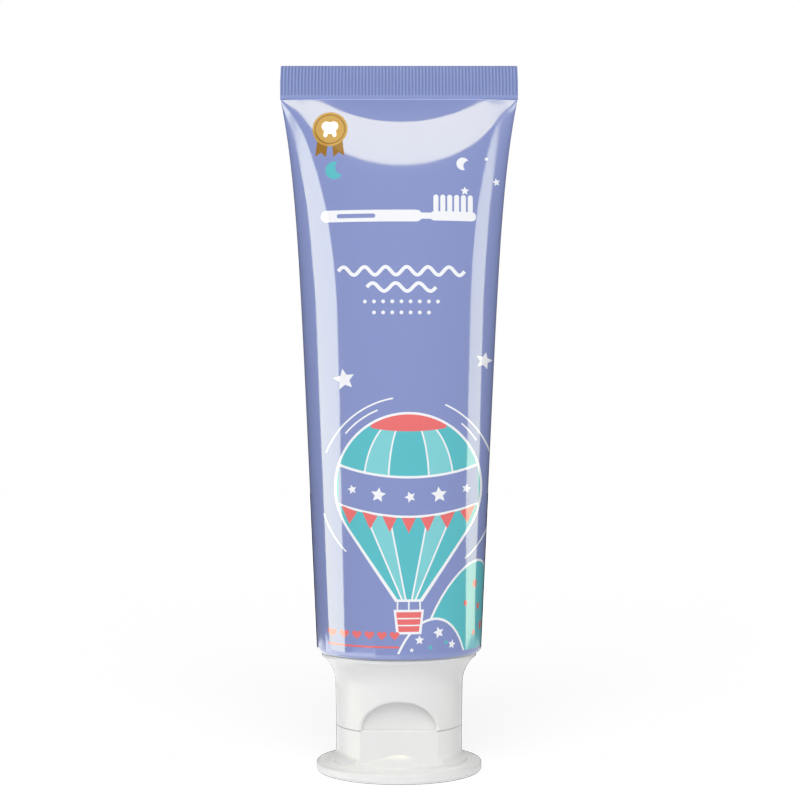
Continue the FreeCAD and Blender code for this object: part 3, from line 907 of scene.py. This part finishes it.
def add_crimp(shell):
    """The pressed end as a closed plate whose two faces carry the same fine ribs."""
    columns = RIB_COUNT * RIB_STEPS
    xs = [-CRIMP_HALF_WIDTH + 2 * CRIMP_HALF_WIDTH * i / columns for i in range(columns + 1)]
    low_z = CRIMP_Z - 0.1
    # Height, share of the ribs' depth, and how far the plate swells there.
    levels = [
        (low_z, 0.0, -0.05),
        (low_z + 0.07, 0.0, 0.0),
        (low_z + 0.18, 0.0, 0.03),
        (low_z + CRIMP_LAND, 0.0, 0.02),
        (low_z + CRIMP_LAND + RIB_FADE, 1.0, 0.0),
        ((low_z + SLEEVE_TOP_Z) / 2, 1.0, 0.0),
        (SLEEVE_TOP_Z - 0.16, 1.0, 0.0),
        (SLEEVE_TOP_Z, 1.0, -0.12),
    ]
    rings = []
    for z, ribbed, swell in levels:
        above = max(CRIMP_CORNER - (SLEEVE_TOP_Z - z), 0.0)
        cut = CRIMP_CORNER - math.sqrt(CRIMP_CORNER**2 - above**2)
        shrink = (CRIMP_HALF_WIDTH - cut) / CRIMP_HALF_WIDTH
        half = CRIMP_HALF_THICKNESS + swell
        ring = []
        for side in (-1, 1):
            line = xs if side < 0 else xs[::-1]
            for x in line:
                ring.append(shell.add_point(Vector((x * shrink, side * half + ribbed * rib_wave(x), z))))
        rings.append(ring)
    count = len(xs)
    for ring, following, ribbed in zip(rings, rings[1:], [level[1] for level in levels]):
        for index in range(2 * count):
            after = (index + 1) % (2 * count)
            # Faces in a groove take the darker ink, which is painted shade in the grooves.
            in_groove = abs((index % count + 0.5) / RIB_STEPS % 1 - 0.5) < GROOVE_SHARE / 2
            ink = INKS.index("groove" if ribbed and in_groove else "rib")
            shell.add_face([ring[index], ring[after], following[after], following[index]], ink)
    for ring, upwards in ((rings[0], False), (rings[-1], True)):
        for i in range(count - 1):
            quad = [ring[i], ring[i + 1], ring[2 * count - 2 - i], ring[2 * count - 1 - i]]
            shell.add_face(quad if upwards else quad[::-1], INKS.index("rib"))


def keep_sleeve_normals(item, smooth_faces):
    """Gives the printed skin the exact normals of its form, so that its long reflections stay clean."""
    mesh = item.data
    normals = [Vector((0, 0, 0))] * len(mesh.loops)
    seam = math.pi - SEAM_BAND / TUBE_RADIUS
    for polygon in mesh.polygons[:smooth_faces]:
        for loop in polygon.loop_indices:
            point = mesh.vertices[mesh.loops[loop].vertex_index].co / MM
            a, b = law.axes(point.z)
            if abs(math.atan2(point.x / a, -point.y / b)) < seam:
                normals[loop] = skin_normal(point)
    mesh.normals_split_custom_set(normals)


def make_sleeve(materials):
    shell = Shell()
    (low_ring, places), (high_ring, _) = add_printed_skin(shell)
    skin_faces = len(shell.faces)
    shell.add_face(high_ring)
    ring = add_rolled_edge(shell, low_ring, places)
    add_inner_wall(shell, ring, places)
    add_crimp(shell)
    item = finished_object("printed_sleeve", shell.points, shell.faces, materials, shell.inks)
    tidy = bmesh.new()
    tidy.from_mesh(item.data)
    bmesh.ops.recalc_face_normals(tidy, faces=tidy.faces)
    tidy.to_mesh(item.data)
    tidy.free()
    keep_sleeve_normals(item, skin_faces)
    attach(item, "tube")
    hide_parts("tube_sleeve")
    return item


def make_hinge(material):
    """The hinge strap: thin in the middle, thicker where it runs into the two pads."""
    low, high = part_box("living_hinge")
    half = high[0] / MM
    axis_y, axis_z = low[1] / MM, (low[2] + high[2]) / 2 / MM
    outer = (high[2] - low[2]) / 2 / MM
    inner = outer - HINGE_FILM
    steps, columns = 14, 24
    shell = Shell()
    rings = []
    for i in range(steps + 1):
        angle = -math.pi / 2 + math.pi * i / steps
        bend = math.cos(angle) ** 2
        thin = HINGE_THINNING * bend
        ring = []
        for radius, direction in ((outer - thin, 1), (inner, -1)):
            for j in range(columns + 1)[::direction]:
                x = half * (-1 + 2 * j / columns) * (1 - HINGE_WAIST * bend)
                y = axis_y + radius * math.cos(angle)
                z = axis_z + radius * math.sin(angle)
                ring.append(shell.add_point(Vector((x, y, z))))
        rings.append(ring)
    for ring, following in zip(rings, rings[1:]):
        shell.bridge(ring, following)
    shell.add_face(rings[0][::-1])
    shell.add_face(rings[-1])
    item = finished_object("hinge_strap", shell.points, shell.faces, [material])
    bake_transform(item)
    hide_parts("living_hinge")
    return item


def dress_node(name, material):
    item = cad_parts[name]
    item.data.materials.clear()
    item.data.materials.append(material)


# Stage


def add_area(name, place, power, shadow=True):
    """A square softbox that lights the surfaces and leaves no hard-edged reflection on the gloss."""
    light = bpy.data.lights.new(name, "AREA")
    light.shape = "SQUARE"
    light.size = SOFTBOX_SIZE
    light.energy = power
    light.use_shadow = shadow
    item = bpy.data.objects.new(name, light)
    item.location = place
    item.rotation_euler = (MIDDLE - Vector(place)).to_track_quat("-Z", "Y").to_euler()
    item.visible_glossy = False
    item.visible_camera = False
    bpy.context.scene.collection.objects.link(item)


def direction(azimuth_deg, elevation_deg):
    """Azimuth 0 points at the camera, and a positive one turns to the camera's right."""
    azimuth, elevation = math.radians(azimuth_deg), math.radians(elevation_deg)
    level = math.cos(elevation)
    return Vector((level * math.sin(azimuth), -level * math.cos(azimuth), math.sin(elevation)))


def seen_point(u, z):
    """The place on the sleeve that the camera sees in front of a point of the plane through its axis."""
    eye = Vector((CAMERA_SIDE, -CAMERA_DISTANCE, CAMERA_HEIGHT)) / MM
    target = Vector((u, 0, z))
    # The sleeve's near side lies within the last tenth of the way.
    low, high = 0.9, 1.0
    for _ in range(40):
        middle = (low + high) / 2
        point = eye.lerp(target, middle)
        a, b = law.axes(point.z)
        if (point.x / a) ** 2 + (point.y / b) ** 2 > 1:
            low = middle
        else:
            high = middle
    return eye.lerp(target, high)


def card_point(u, z):
    """The place of a card in the studio that the varnish at seen_point mirrors to the camera.

    Its level evens out that a varnish mirrors more at a glancing angle.
    """
    point = seen_point(u, z)
    view = (point - Vector((CAMERA_SIDE, -CAMERA_DISTANCE, CAMERA_HEIGHT)) / MM).normalized()
    normal = skin_normal(point)
    mirrored = VARNISH_MIRROR + (1 - VARNISH_MIRROR) * (1 + view.dot(normal)) ** 5
    return point * MM + CARD_DISTANCE * view.reflect(normal), VARNISH_MIRROR / mirrored


def add_card(name, rows, material):
    """A bent card from rows of places and levels, which only the gloss sees."""
    wide = len(rows[0])
    faces = []
    for row in range(len(rows) - 1):
        for index in range(wide - 1):
            corner = row * wide + index
            faces.append((corner, corner + 1, corner + wide + 1, corner + wide))
    mesh = bpy.data.meshes.new(name)
    mesh.from_pydata([place for row in rows for place, _ in row], [], faces)
    levels = mesh.attributes.new("level", "FLOAT", "POINT")
    levels.data.foreach_set("value", [level for row in rows for _, level in row])
    mesh.materials.append(material)
    item = bpy.data.objects.new(name, mesh)
    bpy.context.scene.collection.objects.link(item)
    item.visible_camera = False
    item.visible_diffuse = False
    item.visible_transmission = False
    item.visible_shadow = False


def add_strip_light(name, edges, material):
    """The upright card that makes one long highlight, from the highlight's two edges by height."""
    rows = []
    for (z0, a0, b0), (z1, a1, b1) in zip(edges, edges[1:]):
        for index in range(4):
            share = index / 4
            ends = a0 + (a1 - a0) * share, b0 + (b1 - b0) * share
            rows.append(card_row(*ends, z0 + (z1 - z0) * share))
    z, a, b = edges[-1]
    rows.append(card_row(a, b, z))
    add_card(name, rows, material)


def add_low_light(name, edge, material):
    """The upright card under a strip light, which makes the sheen at one side of the closure."""
    z, a, b = edge
    row = card_row(a, b, z, columns=16)
    lower = [(place - Vector((0, 0, LOW_CARD_DROP)), level) for place, level in row]
    add_card(name, [lower, row], material)


def card_row(a, b, z, columns=6):
    return [card_point(a + (b - a) * index / columns, z) for index in range(columns + 1)]


def add_crescent_light(material):
    """The card above the tube that makes the crescent under the crimp."""
    rows = []
    for index in range(41):
        s = -1 + index / 20
        top_u, low_u = CRESCENT_TOP_HALF * s, CRESCENT_LOW_HALF * s
        top_z = CRESCENT_TOP_Z + CRESCENT_TOP_RADIUS - math.sqrt(CRESCENT_TOP_RADIUS**2 - top_u**2)
        low_z = CRESCENT_MIDDLE_Z - CRESCENT_DROP * math.sqrt(1 - (low_u / CRESCENT_HALF) ** 2)
        row = []
        for step in range(9):
            share = step / 8
            u = CRESCENT_U + low_u + (top_u - low_u) * share
            row.append(card_point(u, min(low_z + (top_z - low_z) * share, CRIMP_Z - 0.15)))
        rows.append(row)
    add_card("crescent_card", rows, material)


def add_surround(name, elevations, azimuths, material):
    """A wide grey or white card round the tube, from one elevation to another."""
    rows = []
    for elevation in elevations:
        start, end = azimuths
        turns = [start + (end - start) * index / 48 for index in range(49)]
        rows.append([(MIDDLE + SURROUND_DISTANCE * direction(turn, elevation), 1) for turn in turns])
    add_card(name, rows, material)


def glow_material(name, strength, rgb=(1, 1, 1), by_level=False):
    """A card's light, even all over or following the card's levels."""
    material = bpy.data.materials.new(name)
    material.use_nodes = True
    nodes, links = material.node_tree.nodes, material.node_tree.links
    nodes.clear()
    glow = nodes.new("ShaderNodeEmission")
    glow.inputs["Color"].default_value = (*rgb, 1)
    glow.inputs["Strength"].default_value = strength
    if by_level:
        level = nodes.new("ShaderNodeAttribute")
        level.attribute_name = "level"
        scaled = nodes.new("ShaderNodeMath")
        scaled.operation = "MULTIPLY"
        scaled.inputs[1].default_value = strength
        links.new(level.outputs["Fac"], scaled.inputs[0])
        links.new(scaled.outputs["Value"], glow.inputs["Strength"])
    output = nodes.new("ShaderNodeOutputMaterial")
    links.new(glow.outputs["Emission"], output.inputs["Surface"])
    return material


def make_world():
    """Even ambient light, with a white background for the camera and in reflections."""
    world = bpy.data.worlds.new("studio")
    bpy.context.scene.world = world
    world.use_nodes = True
    nodes, links = world.node_tree.nodes, world.node_tree.links
    nodes.clear()
    path = nodes.new("ShaderNodeLightPath")
    seen = path.outputs["Is Camera Ray"]
    for kind in ("Is Glossy Ray", "Is Transmission Ray"):
        either = nodes.new("ShaderNodeMath")
        either.operation = "MAXIMUM"
        links.new(seen, either.inputs[0])
        links.new(path.outputs[kind], either.inputs[1])
        seen = either.outputs["Value"]
    mix = nodes.new("ShaderNodeMixShader")
    links.new(seen, mix.inputs["Fac"])
    for strength, socket in ((AMBIENT, mix.inputs[1]), (1.0, mix.inputs[2])):
        light = nodes.new("ShaderNodeBackground")
        light.inputs["Color"].default_value = (1, 1, 1, 1)
        light.inputs["Strength"].default_value = strength
        links.new(light.outputs["Background"], socket)
    output = nodes.new("ShaderNodeOutputWorld")
    links.new(mix.outputs["Shader"], output.inputs["Surface"])


def make_floor():
    """A matt pale floor that takes a faint shadow and lets the white background through."""
    mesh = bpy.data.meshes.new("floor")
    corners = [(x * FLOOR_HALF, y * FLOOR_HALF, 0) for x, y in ((-1, -1), (1, -1), (1, 1), (-1, 1))]
    mesh.from_pydata(corners, [], [(0, 1, 2, 3)])
    item = bpy.data.objects.new("floor", mesh)
    material, shader = new_material("floor_white")
    shader.inputs["Roughness"].default_value = 1.0
    shader.inputs["Specular IOR Level"].default_value = 0.0
    shader.inputs["Base Color"].default_value = (0.9, 0.9, 0.9, 1)
    shader.inputs["Emission Color"].default_value = (1, 1, 1, 1)
    path = material.node_tree.nodes.new("ShaderNodeLightPath")
    material.node_tree.links.new(path.outputs["Is Camera Ray"], shader.inputs["Emission Strength"])
    mesh.materials.append(material)
    bpy.context.scene.collection.objects.link(item)
    item.is_shadow_catcher = True
    item.visible_glossy = False


def make_camera():
    data = bpy.data.cameras.new("camera")
    data.sensor_width = 36
    data.lens = data.sensor_width / 2 * DISTANCE_PIXELS / FRAME_HALF_PIXELS
    data.clip_start = 0.01
    item = bpy.data.objects.new("camera", data)
    item.location = (CAMERA_SIDE, -CAMERA_DISTANCE, CAMERA_HEIGHT)
    item.rotation_euler = (math.radians(90), 0, 0)
    bpy.context.scene.collection.objects.link(item)
    bpy.context.scene.camera = item


def make_lights():
    add_area("front_softbox", FRONT_SOFTBOX, FRONT_POWER)
    add_area("rear_fill", REAR_SOFTBOX, REAR_POWER, shadow=False)
    left_glow = glow_material("left_glow", LEFT_STRIP_GLOW, STRIP_TINT, by_level=True)
    right_glow = glow_material("right_glow", RIGHT_STRIP_GLOW, STRIP_TINT, by_level=True)
    add_strip_light("left_strip", LEFT_STRIP, left_glow)
    add_strip_light("right_strip", RIGHT_STRIP, right_glow)
    add_low_light("left_low_card", LEFT_LOW, glow_material("left_low_glow", LEFT_LOW_GLOW))
    add_low_light("right_low_card", RIGHT_LOW, glow_material("right_low_glow", RIGHT_LOW_GLOW))
    add_crescent_light(glow_material("crescent_glow", CRESCENT_GLOW, CRESCENT_TINT, by_level=True))
    grey = glow_material("surround_grey", SURROUND_GLOW)
    add_surround("dark_surround", (FLOOR_ELEVATION, 0, 30, 60, 89), (-180, 180), grey)
    below = (-89, -60, -30, FLOOR_ELEVATION)
    add_surround("white_table_left", below, (-180, 0), glow_material("table_left", LEFT_TABLE_GLOW))
    add_surround("white_table_right", below, (0, 180), glow_material("table_right", RIGHT_TABLE_GLOW))


def main():
    make_camera()
    inks = {
        "periwinkle": ink_material("ink_periwinkle", PERIWINKLE),
        "white": ink_material("ink_white", WHITE_INK),
        "teal": ink_material("ink_teal", TEAL),
        "light_teal": ink_material("ink_light_teal", LIGHT_TEAL),
        "coral": ink_material("ink_coral", CORAL),
        "gold": ink_material("ink_gold", GOLD, coat=0.15),
        "dark_gold": ink_material("ink_dark_gold", DARK_GOLD, coat=0.15),
        "rib": ink_material("ink_rib", RIB_PERIWINKLE, coat=0, roughness=0.6, specular=0.1),
        # The groove ink is a darker colour, painted shade in the crimp's grooves.
        "groove": ink_material("ink_groove", GROOVE_SHADE_PERIWINKLE, coat=0, roughness=0.6, specular=0.1),
        # The crease ink is a light colour, a painted highlight along the crease under the crimp.
        "crease_glint": ink_material("ink_crease_painted_highlight", CREASE_GLINT_PERIWINKLE, coat=0.2, roughness=0.5),
    }
    closure = moulded_material("closure_white", CLOSURE_WHITE)
    make_sleeve([inks[name] for name in INKS])
    make_hinge(closure)
    dress_node("cap_lid", closure)
    dress_node("cap_body", closure)
    dress_node("tube_head", moulded_material("head_white", HEAD_WHITE, 0.45))
    dress_node("toothpaste", paste_material())
    make_world()
    make_lights()
    make_floor()
    bpy.context.scene.view_settings.view_transform = "Standard"


main()
